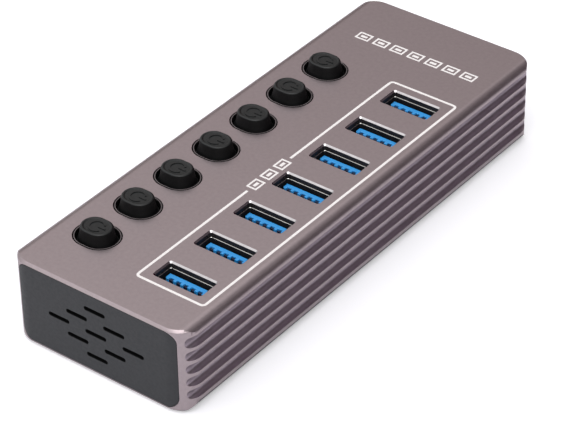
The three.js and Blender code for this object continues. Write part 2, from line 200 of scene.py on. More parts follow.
def make_object(build, name="shape", material=None):
    """A new object in the scene, whose mesh build(bm) makes."""
    mesh = bpy.data.meshes.new(name)
    bm = bmesh.new()
    build(bm)
    bmesh.ops.recalc_face_normals(bm, faces=bm.faces)
    bm.to_mesh(mesh)
    bm.free()
    if material is not None:
        mesh.materials.append(material)
    obj = bpy.data.objects.new(name, mesh)
    bpy.context.scene.collection.objects.link(obj)
    return obj


def add_loft(bm, rings, closed=False):
    """Adds a closed surface through rings of equal length, capped unless it closes on itself."""
    made = [[bm.verts.new(p) for p in ring] for ring in rings]
    pairs = list(zip(made, made[1:]))
    if closed:
        pairs.append((made[-1], made[0]))
    else:
        bm.faces.new(made[0][::-1])
        bm.faces.new(made[-1])
    for lower, upper in pairs:
        count = len(lower)
        for i in range(count):
            j = (i + 1) % count
            bm.faces.new((lower[i], lower[j], upper[j], upper[i]))


def loft(*rings, material=None):
    return make_object(lambda bm: add_loft(bm, rings), material=material)


def lofts(solids, material=None):
    """One object that holds several separate lofted solids."""

    def build(bm):
        for rings in solids:
            add_loft(bm, rings)

    return make_object(build, material=material)


def ring_solid(outline, profile, material=None):
    """A closed ring whose section is profile, a list of (growth, z), round outline(growth)."""
    rings = [level(outline(grow), z) for grow, z in profile]
    return make_object(lambda bm: add_loft(bm, rings, closed=True), material=material)


def box_rings(low, high):
    """Two rings that make a box."""
    corners = ((low[0], low[1]), (high[0], low[1]), (high[0], high[1]), (low[0], high[1]))
    return [level(corners, low[2]), level(corners, high[2])]


def boolean(base, tool, operation="DIFFERENCE"):
    """Cuts base with tool, or joins or intersects them, and takes tool away."""
    modifier = base.modifiers.new("cut", "BOOLEAN")
    modifier.operation = operation
    modifier.solver = "EXACT"
    modifier.material_mode = "TRANSFER"
    modifier.object = tool
    bpy.context.view_layer.update()
    depsgraph = bpy.context.evaluated_depsgraph_get()
    result = bpy.data.meshes.new_from_object(base.evaluated_get(depsgraph), depsgraph=depsgraph)
    old = base.data
    base.modifiers.clear()
    base.data = result
    bpy.data.meshes.remove(old)
    bpy.data.objects.remove(tool, do_unlink=True)
    return base


def join(base, *others):
    """Puts the meshes of others into base as further separate solids, with their materials."""
    bm = bmesh.new()
    bm.from_mesh(base.data)
    for other in others:
        offset = {}
        for index, material in enumerate(other.data.materials):
            if material.name not in base.data.materials:
                base.data.materials.append(material)
            offset[index] = base.data.materials.find(material.name)
        start = len(bm.faces)
        bm.from_mesh(other.data)
        bm.faces.ensure_lookup_table()
        for face in bm.faces[start:]:
            face.material_index = offset.get(face.material_index, 0)
        bpy.data.objects.remove(other, do_unlink=True)
    bm.to_mesh(base.data)
    bm.free()
    return base


def smooth(obj, angle=38.0):
    """Smooth shading that stays crisp at edges sharper than angle, in degrees."""
    obj.data.shade_smooth()
    obj.data.set_sharp_from_angle(angle=math.radians(angle))
    weighted = obj.modifiers.new("even_normals", "WEIGHTED_NORMAL")
    weighted.keep_sharp = True
    weighted.weight = 100


def bevel(obj, width, segments=2, angle=50.0):
    """Rounds the edges sharper than angle by width, in the object's own units."""
    rounding = obj.modifiers.new("rounded_edges", "BEVEL")
    rounding.width = width
    rounding.segments = segments
    rounding.limit_method = "ANGLE"
    rounding.angle_limit = math.radians(angle)
    rounding.use_clamp_overlap = True


def to_metres(obj):
    obj.data.transform(Matrix.Scale(MM, 4))
    return obj


def settle(obj, name, body, replaces=(), at=(0, 0, 0), bevel_width=None, angle=38.0):
    """Names a finished piece, puts it in place and hands it to the frame."""
    obj.name = name
    obj.data.name = name
    obj.location = Vector(at) * MM
    if bevel_width is not None:
        bevel(obj, bevel_width * MM)
    smooth(obj, angle)
    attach(obj, body)
    if replaces:
        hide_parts(*replaces)
    return obj


def copies(obj, count):
    """obj, and further objects that share its mesh."""
    made = [obj]
    for _ in range(count - 1):
        twin = obj.copy()
        bpy.context.scene.collection.objects.link(twin)
        made.append(twin)
    return made


# ---- Materials ------------------------------------------------------------------------------


def srgb(r, g, b):
    """A display colour from 0 to 255 as the linear colour that a shader takes."""

    def linear(value):
        value /= 255
        return value / 12.92 if value <= 0.04045 else ((value + 0.055) / 1.055) ** 2.4

    return (linear(r), linear(g), linear(b), 1.0)


class Shader:
    """A Principled material whose colour, roughness and relief come from procedural textures."""

    def __init__(self, name, roughness=0.5, metallic=0.0, **constants):
        self.material = bpy.data.materials.new(name)
        self.material.use_nodes = True
        self.nodes = self.material.node_tree.nodes
        self.links = self.material.node_tree.links
        self.surface = self.nodes["Principled BSDF"]
        self.surface.inputs["Metallic"].default_value = metallic
        self.surface.inputs["Roughness"].default_value = roughness
        for socket, value in constants.items():
            self.surface.inputs[socket.replace("_", " ")].default_value = value
        self.place = self.nodes.new("ShaderNodeTexCoord").outputs["Object"]
        self.normal = None

    def stretched(self, scale):
        """The object's own coordinates, multiplied by scale along each axis."""
        mapping = self.nodes.new("ShaderNodeMapping")
        mapping.inputs["Scale"].default_value = scale
        self.links.new(self.place, mapping.inputs["Vector"])
        return mapping.outputs["Vector"]

    def noise(self, size, detail=2.0, roughness=0.5, place=None):
        """Noise whose lumps are about size metres across."""
        node = self.nodes.new("ShaderNodeTexNoise")
        node.inputs["Scale"].default_value = 1 / size
        node.inputs["Detail"].default_value = detail
        node.inputs["Roughness"].default_value = roughness
        self.links.new(place or self.place, node.inputs["Vector"])
        return node.outputs["Fac"]

    def spread(self, value, low, high, low_in=0.3, high_in=0.7):
        """value, mapped from its usual span to low..high."""
        node = self.nodes.new("ShaderNodeMapRange")
        node.inputs["From Min"].default_value = low_in
        node.inputs["From Max"].default_value = high_in
        node.inputs["To Min"].default_value = low
        node.inputs["To Max"].default_value = high
        self.links.new(value, node.inputs["Value"])
        return node.outputs["Result"]

    def colours(self, value, first, second):
        """Base colour that runs from first to second as value goes over its usual span."""
        ramp = self.nodes.new("ShaderNodeValToRGB")
        ramp.color_ramp.elements[0].position = 0.32
        ramp.color_ramp.elements[0].color = first
        ramp.color_ramp.elements[1].position = 0.68
        ramp.color_ramp.elements[1].color = second
        self.links.new(value, ramp.inputs["Fac"])
        self.links.new(ramp.outputs["Color"], self.surface.inputs["Base Color"])

    def rough(self, value, low, high):
        self.links.new(self.spread(value, low, high), self.surface.inputs["Roughness"])

    def relief(self, value, depth, strength=1.0):
        """Bumps of about depth metres. A later relief lies over an earlier one."""
        node = self.nodes.new("ShaderNodeBump")
        node.inputs["Distance"].default_value = depth
        node.inputs["Strength"].default_value = strength
        self.links.new(value, node.inputs["Height"])
        if self.normal is not None:
            self.links.new(self.normal, node.inputs["Normal"])
        self.normal = node.outputs["Normal"]
        self.links.new(self.normal, self.surface.inputs["Normal"])


def scaled(colour, factor):
    return (colour[0] * factor, colour[1] * factor, colour[2] * factor, 1.0)


def anodised_metal(name, tone):
    """Bead-blasted aluminium, dyed mauve-grey."""
    s = Shader(name, metallic=1.0)
    s.colours(s.noise(0.0009, detail=3), scaled(tone, 0.965), scaled(tone, 1.035))
    s.rough(s.noise(0.0004, detail=2), 0.37, 0.44)
    s.relief(s.noise(0.00016, detail=2), 0.000004)
    s.relief(s.noise(0.012, detail=1), 0.00001, 0.4)
    return s.material


def cut_metal():
    """Bare aluminium where a diamond cutter has run round an opening after dyeing."""
    s = Shader("cut_metal", metallic=1.0)
    s.colours(s.noise(0.0012, detail=3), (0.60, 0.57, 0.58, 1), (0.69, 0.66, 0.67, 1))
    s.rough(s.noise(0.0005), 0.16, 0.24)
    s.relief(s.noise(0.00012, place=s.stretched((0.25, 1, 1))), 0.000002)
    return s.material


def painted_shade_wall():
    """The milled walls inside an opening, coloured darker than the face: painted shade."""
    s = Shader("painted_shade_wall", metallic=0.6)
    s.colours(s.noise(0.0008, detail=3), srgb(44, 40, 42), srgb(58, 52, 55))
    s.rough(s.noise(0.0004), 0.5, 0.6)
    s.relief(s.noise(0.0001, place=s.stretched((1, 1, 0.1))), 0.000004)
    return s.material


def moulded_plastic(name, tone, spread, grain, depth, roughness, **constants):
    """Plastic with a fine moulded texture of the given grain and depth, in metres."""
    s = Shader(name, **constants)
    s.colours(s.noise(0.004, detail=4), scaled(tone, 1 - spread), scaled(tone, 1 + spread))
    s.rough(s.noise(grain * 4), *roughness)
    s.relief(s.noise(grain, detail=3, roughness=0.6), depth)
    return s.material


def plated_steel():
    """Nickel-plated pressed steel, with the faint drawn lines of the sheet."""
    s = Shader("plated_steel", metallic=1.0)
    s.colours(s.noise(0.002, detail=3), srgb(196, 194, 190), srgb(222, 221, 217))
    s.rough(s.noise(0.0006), 0.22, 0.34)
    s.relief(s.noise(0.0001, place=s.stretched((1, 1, 0.04))), 0.000003)
    return s.material


def shaded_steel():
    """The inside of a socket's shell, coloured dark: painted shade."""
    s = Shader("shaded_steel", metallic=0.5)
    s.colours(s.noise(0.0015, detail=3), srgb(30, 31, 35), srgb(42, 43, 48))
    s.rough(s.noise(0.0006), 0.5, 0.62)
    s.relief(s.noise(0.0001, place=s.stretched((1, 1, 0.04))), 0.000003)
    return s.material


def painted_shade_contact():
    """The spring contacts, which lie deep in their notches, coloured a near-black blue: painted
    shade.
    """
    s = Shader("painted_shade_contact", metallic=0.2)
    s.colours(s.noise(0.0008), srgb(9, 28, 56), srgb(15, 38, 72))
    s.rough(s.noise(0.0004), 0.45, 0.6)
    return s.material


def circuit_board():
    """Green solder mask with fine tracks showing through it."""
    s = Shader("circuit_board", Coat_Weight=0.4, Coat_Roughness=0.2)
    tracks = s.nodes.new("ShaderNodeTexBrick")
    tracks.inputs["Scale"].default_value = 1 / 0.0012
    tracks.inputs["Mortar Size"].default_value = 0.12
    tracks.inputs["Color1"].default_value = srgb(18, 84, 50)
    tracks.inputs["Color2"].default_value = srgb(14, 74, 44)
    tracks.inputs["Mortar"].default_value = srgb(34, 112, 66)
    s.links.new(s.stretched((1, 0.2, 1)), tracks.inputs["Vector"])
    s.links.new(tracks.outputs["Color"], s.surface.inputs["Base Color"])
    s.rough(s.noise(0.001), 0.3, 0.42)
    s.relief(tracks.outputs["Fac"], 0.00002, 0.5)
    return s.material


def white_ink():
    """Screen-printed ink, slightly uneven."""
    s = Shader("white_ink")
    s.colours(s.noise(0.0006, detail=3), srgb(248, 243, 242), srgb(255, 252, 251))
    s.rough(s.noise(0.0003), 0.45, 0.6)
    s.relief(s.noise(0.00015), 0.000004)
    return s.material


ANODISED = anodised_metal("anodised_metal", (0.442, 0.373, 0.389, 1.0))
# A darker, bluer tone for the faces inside the grooves: painted shade.
GROOVE_SHADE_METAL = anodised_metal("groove_painted_shade", (0.400, 0.337, 0.382, 1.0))
# A near-black tone for the faces that turn under the tube's lower edge: painted shade.
UNDER_EDGE_SHADE_METAL = anodised_metal("under_edge_painted_shade", (0.058, 0.049, 0.055, 1.0))
CUT_METAL = cut_metal()
WALL_SHADE_METAL = painted_shade_wall()
SHADED_STEEL = shaded_steel()
CAP_PLASTIC = moulded_plastic(
    "cap_plastic", srgb(44, 45, 48), 0.03, 0.00018, 0.000012, (0.5, 0.62)
)
BUTTON_PLASTIC = moulded_plastic(
    "button_plastic", srgb(22, 24, 25), 0.06, 0.00012, 0.000008, (0.42, 0.52)
)
# A deeper black for faces that turn away from above, and for the vent walls: painted shade.
SIDE_SHADE_PLASTIC = moulded_plastic(
    "painted_shade_plastic", srgb(5, 5, 6), 0.06, 0.0002, 0.000003, (0.55, 0.65), Specular_IOR_Level=0.22
)
# A grey tone for the collars' upward faces: a painted highlight standing in for the glint on their
# black rims.
COLLAR_HIGHLIGHT_PLASTIC = moulded_plastic(
    "collar_painted_highlight", srgb(104, 95, 97), 0.06, 0.00012, 0.000006, (0.45, 0.55)
)
TONGUE_PLASTIC = moulded_plastic(
    "tongue_plastic", srgb(50, 155, 228), 0.03, 0.0003, 0.000004, (0.3, 0.4)
)
STEEL = plated_steel()
CONTACT_SHADE = painted_shade_contact()
BOARD = circuit_board()
COMPONENT = moulded_plastic(
    "component_plastic", srgb(24, 24, 26), 0.08, 0.0001, 0.000006, (0.5, 0.65)
)
RUBBER = moulded_plastic("foot_rubber", srgb(30, 30, 31), 0.08, 0.0003, 0.00002, (0.75, 0.9))
INK = white_ink()

# ---- The housing ----------------------------------------------------------------------------


def arc(x, z, radius, start, end, steps, height=None):
    """Points of an arc from angle start to end, in degrees; with a height it is an ellipse's."""
    rise = radius if height is None else height
    angles = [math.radians(start + (end - start) * i / steps) for i in range(steps + 1)]
    return [(x + radius * math.cos(a), z + rise * math.sin(a)) for a in angles]


def groove(centre, rise=0.0):
    """One side groove with eased lips, from its lower lip to its upper one, raised by rise."""
    inner = HALF_WIDTH - LIP_RADIUS
    points = arc(inner, centre - GROOVE_HALF_WIDTH - LIP_RADIUS, LIP_RADIUS, 0, 90, 3)
    steps = 22
    for i in range(1, steps):
        angle = math.pi * (i / steps - 0.5)
        across = math.copysign(abs(math.sin(angle)) ** (2 / GROOVE_POWER), math.sin(angle))
        depth = GROOVE_DEPTH * math.cos(angle) ** (2 / GROOVE_POWER)
        if depth > LIP_RADIUS:
            reach = GROOVE_HALF_WIDTH + (rise if across > 0 else 0)
            points.append((HALF_WIDTH - depth, centre + reach * across))
    points += arc(inner, centre + GROOVE_HALF_WIDTH + rise + LIP_RADIUS, LIP_RADIUS, -90, 0, 3)
    return points


def tube_section():
    """The outside of the extruded tube, anticlockwise in X and Z."""
    lower = LOWER_EDGE_RADIUS
    right = arc(HALF_WIDTH - lower, BOTTOM + lower, lower, -90, 0, 12)
    for k in reversed(range(GROOVE_COUNT)):
        rise = FIRST_GROOVE_RISE if k == 0 else 0
        right += groove(TOP - FIRST_GROOVE_DROP - k * GROOVE_PITCH, rise)
    right += arc(HALF_WIDTH - EDGE_REACH, TOP - EDGE_DROP, EDGE_REACH, 0, 90, 16, EDGE_DROP)
    return right + [(-x, z) for x, z in reversed(right)]


def chamfer_rows(chamfer):
    """An eased chamfer as how far in it is at each rise from the end of a prism."""
    ease = chamfer * 0.1
    return [
        (chamfer, -1.0),
        (chamfer, -0.01),
        (chamfer - ease, ease * 0.5),
        (chamfer - 2 * ease, 1.2 * ease),
        (1.2 * ease, chamfer - 2 * ease),
        (ease * 0.5, chamfer - ease),
        (0, chamfer + ease),
    ]


def corner_prism():
    """The upright prism that rounds the tube's four corners and chamfers its end edges."""
    levels = [(inset, BOTTOM + rise) for inset, rise in chamfer_rows(LOWER_CHAMFER)]
    levels += [(inset, TOP - rise) for inset, rise in reversed(chamfer_rows(END_CHAMFER))]
    hair = 0.01  # keeps the prism's flat sides off the tube's own
    width, length = 2 * HALF_WIDTH + hair, 2 * HALF_LENGTH

    def outline(inset):
        return rounded_rectangle(
            width - 2 * inset, length - 2 * inset, CORNER_RADIUS - inset, 24
        )

    return loft(*(level(outline(inset), z) for inset, z in levels), material=ANODISED)


def cutter_rows(chamfer, over):
    """How much wider a roof cutter is at each height: a straight hole with a 45 degree chamfer."""
    return (0.0, TOP - ROOF_CUT_DEPTH), (0.0, TOP - chamfer), (chamfer + over, TOP + over)


def port_cutter(centre):
    """The solid that cuts one socket's opening, with its chamfer."""
    rings = []
    for grow, z in cutter_rows(CUTOUT_CHAMFER, 0.3):
        width, height = CUTOUT[0] + 2 * grow, CUTOUT[1] + 2 * grow
        outline = rounded_rectangle(width, height, CUTOUT_CORNER + grow, 6)
        rings.append(level(outline, z, centre.x, centre.y))
    return rings


def button_hole_cutter(centre):
    """The solid that cuts one button's hole, with its chamfer."""
    return [
        level(slot_outline(BUTTON_HOLE, grow), z, centre.x, centre.y)
        for grow, z in cutter_rows(HOLE_CHAMFER, 0.5)
    ]


def hollow_corner(x, z, radius, side):
    """Points of the hollow's rounded corner, anticlockwise; side is 1 at the roof."""
    start = -math.pi / 2 if side < 0 else 0
    turns = [start + math.pi / 2 * i / 8 for i in range(9)]
    return [
        (x - radius + radius * math.cos(t), z - side * radius + radius * math.sin(t))
        for t in turns
    ]


def cavity():
    """The tube's hollow, with two ledges a side for the board."""
    wall = HALF_WIDTH - SIDE_WALL
    ledge = wall - LEDGE_REACH
    over, under = BOARD_TOP + BOARD_SLACK, BOARD_TOP - BOARD_SLOT
    right = [
        *hollow_corner(wall, BOTTOM + FLOOR_WALL, HOLLOW_FLOOR_RADIUS, -1),
        (wall, under - LEDGE_HEIGHT),
        (ledge, under - LEDGE_HEIGHT),
        (ledge, under),
        (wall, under),
        (wall, over),
        (ledge, over),
        (ledge, over + LEDGE_HEIGHT),
        (wall, over + LEDGE_HEIGHT),
        *hollow_corner(wall, TOP - ROOF_WALL, HOLLOW_ROOF_RADIUS, 1),
    ]
    outline = right + [(-x, z) for x, z in reversed(right)]
    return loft(
        upright(outline, -HALF_LENGTH - 1), upright(outline, HALF_LENGTH + 1), material=ANODISED
    )


def end_ring(width, height, radius, y):
    """A rounded rectangle stood up at y, level with the middle of the tube."""
    return upright(rounded_rectangle(width, height, radius, 12), y, MIDDLE)


def make_housing():
    """The grooved tube, with its hollow, the caps' seats and the openings in its roof."""
    section = tube_section()
    body = loft(
        upright(section, -HALF_LENGTH - 0.5), upright(section, HALF_LENGTH + 0.5), material=ANODISED
    )
    boolean(body, corner_prism(), "INTERSECT")
    boolean(body, cavity())
    wall = HALF_WIDTH - SIDE_WALL
    low, high = BOTTOM + FLOOR_WALL, TOP - ROOF_WALL
    seats, reliefs = [], []
    for end in (-1, 1):
        seat = end * (HALF_LENGTH - CAP_SEAT)
        past = end * (HALF_LENGTH + 1)
        gap = 2 * CAP_GAP
        seats.append(
            [end_ring(CAP_WIDTH + gap, CAP_HEIGHT + gap, CAP_CORNER, y) for y in (seat, past)]
        )
        relief = sorted((end * (HALF_LENGTH - CAP_SEAT - PLUG_RELIEF), seat))
        reliefs.append(box_rings((-wall, relief[0], low), (wall, relief[1], high)))
    boolean(body, lofts(reliefs, ANODISED))
    boolean(body, lofts(seats, ANODISED))
    cutouts = [port_cutter(node_centre(f"port_shell_{n}")) for n in PORT_NUMBERS]
    boolean(body, lofts(cutouts, CUT_METAL))
    holes = [button_hole_cutter(node_centre(f"button_{n}")) for n in PORT_NUMBERS]
    boolean(body, lofts(holes, ANODISED))
    mark_cut_faces(body)
    to_metres(body)
    return settle(body, "housing_shell", "hub", ["housing"])


def mark_cut_faces(body):
    """Gives the tube's faces their colours, by which way they face and where they lie.

    Only the sloping chamfers round the sockets stay bright; their walls get painted shade. The
    faces inside the grooves and on the edges that turn under the tube get painted shade too."""
    materials = body.data.materials
    cut_index = materials.find(CUT_METAL.name)
    tube_index = materials.find(ANODISED.name)
    wall_shade_index = len(materials)
    groove_shade_index, under_shade_index = wall_shade_index + 1, wall_shade_index + 2
    for material in (WALL_SHADE_METAL, GROOVE_SHADE_METAL, UNDER_EDGE_SHADE_METAL):
        materials.append(material)
    edge_low, edge_high = BOTTOM + LOWER_EDGE_RADIUS, TOP - EDGE_DROP
    for polygon in body.data.polygons:
        normal, z = polygon.normal, polygon.center.z
        inward = HALF_WIDTH - abs(polygon.center.x)
        if polygon.material_index == cut_index:
            if not 0.3 < normal.z < 0.95:
                # The openings' walls get the painted shade.
                polygon.material_index = wall_shade_index
        elif polygon.material_index == tube_index and inward < EDGE_ZONE:
            runs_along = edge_low < z < edge_high and abs(normal.y) < 0.02
            # Faces inside the grooves get the painted shade.
            if runs_along and LIP_RADIUS < inward < GROOVE_ZONE:
                polygon.material_index = groove_shade_index
            elif z < edge_low and normal.z < UNDER_SLOPE:
                # Downward faces of the lower edge get the painted shade.
                polygon.material_index = under_shade_index


make_housing()

# ---- End caps -------------------------------------------------------------------------------


def plain_cap():
    """A cap at the -Y end: its plate follows the tube's rounded corners, and a plug goes in."""
    front, back = -HALF_LENGTH, -HALF_LENGTH + CAP_SEAT - CAP_GAP
    plate = loft(
        end_ring(CAP_WIDTH, CAP_HEIGHT, CAP_CORNER, front - 1),
        end_ring(CAP_WIDTH, CAP_HEIGHT, CAP_CORNER, back),
        material=CAP_PLASTIC,
    )
    outline = rounded_rectangle(2 * HALF_WIDTH, 2 * HALF_LENGTH, CORNER_RADIUS, 24)
    trimmer = loft(level(outline, BOTTOM), level(outline, TOP), material=CAP_PLASTIC)
    boolean(plate, trimmer, "INTERSECT")
    width = 2 * (HALF_WIDTH - SIDE_WALL - 2 * CAP_GAP)
    height = TOP - BOTTOM - FLOOR_WALL - ROOF_WALL - 4 * CAP_GAP
    shift = (FLOOR_WALL - ROOF_WALL) / 2

    def plug_ring(inset, y):
        size = (width - 2 * inset, height - 2 * inset)
        return upright(rounded_rectangle(*size, PLUG_CORNER - inset, 6), y, MIDDLE + shift)

    ends = plug_ring(0, back - 0.5), plug_ring(0, back + PLUG_LENGTH)
    boolean(plate, loft(*ends, material=CAP_PLASTIC), "UNION")
    hollow = plug_ring(PLUG_WALL, back), plug_ring(PLUG_WALL, back + PLUG_LENGTH + 1)
    return boolean(plate, loft(*hollow, material=CAP_PLASTIC))


def make_vented_cap():
    """Each vent widens a little where it meets the face."""
    slots = []
    middle_row = LONGEST_VENT_ROW - 1
    for row in range(-middle_row, middle_row + 1):
        count = LONGEST_VENT_ROW - abs(row)
        for i in range(count):
            x = (2 * i - count + 1) * VENT_PITCH
            narrow, wide = (
                [(px + x, pz + row * VENT_ROW_PITCH) for px, pz in slot_outline(VENT_SIZE, grow, 6)]
                for grow in (0, VENT_FLARE)
            )
            slots.append(
                [
                    upright(wide, -HALF_LENGTH - 0.45, MIDDLE),
                    upright(narrow, -HALF_LENGTH + 0.05, MIDDLE),
                    upright(narrow, -HALF_LENGTH + 3, MIDDLE),
                ]
            )
    # The vent walls get the deeper black: painted shade inside the vents.
    cap = boolean(plain_cap(), lofts(slots, SIDE_SHADE_PLASTIC))
    to_metres(cap)
    settle(cap, "front_cap", "hub", ["vented_end_cap"], bevel_width=CAP_BEVEL)


def make_cable_cap():
    """The cap at the +Y end, with an opening round each of the two rear sockets."""
    cap = plain_cap()
    cap.data.transform(Matrix.Rotation(math.pi, 4, "Z"))
    openings = []
    for node in ("upstream_shell", "power_jack_body"):
        low, high = node_box(node)
        gap = Vector((SOCKET_GAP, 0, SOCKET_GAP))
        low, high = low - gap, high + gap
        low.y, high.y = HALF_LENGTH - 4, HALF_LENGTH + 1
        openings.append(box_rings(low, high))
    boolean(cap, lofts(openings, CAP_PLASTIC))
    to_metres(cap)
    settle(cap, "rear_cap", "hub", ["cable_end_cap"], bevel_width=CAP_BEVEL)


make_vented_cap()
make_cable_cap()

# ---- Sockets --------------------------------------------------------------------------------


def shell_outline(grow):
    """The opening of a socket's shell, grown outwards all round by grow."""
    return rounded_rectangle(
        SHELL_INNER[0] + 2 * grow, SHELL_INNER[1] + 2 * grow, SHELL_CORNER + grow * 0.8, 6
    )


def make_port_shells():
    """The open steel box of each socket, with painted shade on its inside walls."""
    low, top = BOARD_TOP + SOLDER_GAP, TOP - RIM_DROP
    profile = [
        (0, low),
        (SHELL_WALL, low),
        (SHELL_WALL, top - SHELL_EASE),
        (SHELL_WALL - SHELL_EASE, top),
        (SHELL_EASE, top),
        (0, top - SHELL_EASE),
    ]
    shell = ring_solid(shell_outline, profile, STEEL)
    shell.data.materials.append(SHADED_STEEL)
    # Inward-facing walls get the darker steel: painted shade inside the shell.
    for polygon in shell.data.polygons:
        inward = polygon.normal.x * polygon.center.x + polygon.normal.y * polygon.center.y < 0
        if inward and abs(polygon.normal.z) < 0.3:
            polygon.material_index = 1
    to_metres(shell)
    for n, piece in zip(PORT_NUMBERS, copies(shell, len(PORT_NUMBERS))):
        centre = node_centre(f"port_shell_{n}")
        settle(
            piece,
            f"socket_shell_{n}",
            "hub",
            [f"port_shell_{n}"],
            at=(centre.x, centre.y, 0),
        )


def make_port_tongues():
    """The notched tongue of each socket, on its base, with the spring contacts."""
    near, far, half = TONGUE_NEAR, TONGUE_FAR, TONGUE_HALF_WIDTH
    tip, base_top = TOP - TONGUE_DROP, BOARD_TOP + SOCKET_BASE_HEIGHT
    corner = arc(
        -half + TONGUE_CORNER, near + TONGUE_CORNER, TONGUE_CORNER, 180, 270, 5
    )
    floor = near + NOTCH_DEPTH
    notched = list(corner)
    for i in range(NOTCH_COUNT):
        x = (i - NOTCH_COUNT // 2) * NOTCH_PITCH
        left, right = x - NOTCH_HALF_WIDTH, x + NOTCH_HALF_WIDTH
        notched += [(left, near), (left, floor), (right, floor), (right, near)]
    notched += [(-px, py) for px, py in reversed(corner)]
    notched += [(half, far), (-half, far)]
    tongue = loft(level(notched, base_top - 0.5), level(notched, tip), material=TONGUE_PLASTIC)
    block = rounded_rectangle(SHELL_INNER[0] - 0.2, SHELL_INNER[1] - 0.2, 0.4, 4)
    base = loft(
        level(block, BOARD_TOP + SOLDER_GAP), level(block, base_top), material=TONGUE_PLASTIC
    )
    boolean(tongue, base, "UNION")
    # The contacts' near-black blue is painted shade of the notches.
    contacts = lofts(
        [
            box_rings((x - 0.55, near + 0.15, base_top + 0.2), (x + 0.55, near + 0.76, tip - 0.3))
            for x in (-4, -2, 0, 2, 4)
        ]
        + [
            box_rings((x - 0.45, near - 0.06, base_top + 0.2), (x + 0.45, near + 0.1, tip - 4.6))
            for x in (-3.5, -1, 1, 3.5)
        ],
        CONTACT_SHADE,
    )
    join(tongue, contacts)
    to_metres(tongue)
    for n, piece in zip(PORT_NUMBERS, copies(tongue, len(PORT_NUMBERS))):
        centre = node_centre(f"port_shell_{n}")
        settle(
            piece,
            f"socket_tongue_{n}",
            "hub",
            [f"port_tongue_{n}"],
            at=(centre.x, centre.y, 0),
            bevel_width=TONGUE_BEVEL,
        )


make_port_shells()
make_port_tongues()

# ---- Buttons --------------------------------------------------------------------------------


def power_symbol(z0, z1):
    """The generic on/off mark: a broken ring and a bar."""
    outer, inner, steps, gap = 2.05, 1.6, 40, 34
    angles = [math.radians(gap + (360 - 2 * gap) * i / steps) for i in range(steps + 1)]
    outline = [(outer * math.cos(a), outer * math.sin(a)) for a in angles]
    outline += [(inner * math.cos(a), inner * math.sin(a)) for a in reversed(angles)]
    bar = rounded_rectangle(2.0, 0.45, 0.15, 3)
    bar = [(x + 1.4, y) for x, y in bar]
    return lofts(
        [[level(outline, z0), level(outline, z1)], [level(bar, z0), level(bar, z1)]],
        BUTTON_PLASTIC,
    )


def paint_skirt_shade(button):
    """The skirt below the textured top is a deeper black with a duller sheen; the deeper black is
    painted shade.
    """
    button.data.materials.append(SIDE_SHADE_PLASTIC)
    skirt = len(button.data.materials) - 1
    # Faces that turn away from above get the deeper black: painted shade.
    for polygon in button.data.polygons:
        if polygon.normal.z < 0.6:
            polygon.material_index = skirt


def make_buttons():
    """Each button has a stop lip, a brim inside the collar, and a dished pad above the roof."""
    low = node_box("button_1")[0].z
    pad = TOP + PAD_RISE
    rows = [
        (BRIM_SIZE, LIP_GROWTH, low),
        (BRIM_SIZE, LIP_GROWTH, low + LIP_HEIGHT),
        (BRIM_SIZE, 0.0, low + LIP_HEIGHT + 0.001),
        (BRIM_SIZE, 0.0, TOP - 1.3),
        (BRIM_SIZE, -0.08, TOP - 1.1),
        (BRIM_SIZE, -0.28, TOP - 0.95),
        (PAD_SIZE, 0.56, TOP - 0.3),
        (PAD_SIZE, 0.32, TOP + 0.5),
        (PAD_SIZE, 0.18, TOP + 1.1),
        (PAD_SIZE, 0.06, pad - 0.45),
        (PAD_SIZE, -0.02, pad - 0.22),
        (PAD_SIZE, -0.14, pad - 0.08),
        (PAD_SIZE, -0.32, pad),
        (PAD_SIZE, -0.62, pad),
        (PAD_SIZE, -0.74, pad - 0.12),
        (PAD_SIZE, -0.86, pad - 0.16),
    ]
    button = loft(
        *(level(slot_outline(size, grow, 20), z) for size, grow, z in rows),
        material=BUTTON_PLASTIC,
    )
    well = rounded_rectangle(PLUNGER_WELL, PLUNGER_WELL, 0.2, 2)
    boolean(button, loft(level(well, low - 1), level(well, TOP - 2), material=BUTTON_PLASTIC))
    paint_skirt_shade(button)
    join(button, power_symbol(pad - 0.3, pad + 0.03))
    to_metres(button)
    for n, piece in zip(PORT_NUMBERS, copies(button, len(PORT_NUMBERS))):
        centre = node_centre(f"button_{n}")
        settle(
            piece,
            f"push_button_{n}",
            f"button_{n}",
            [f"button_{n}"],
            at=(centre.x, centre.y, 0),
            angle=48,
        )


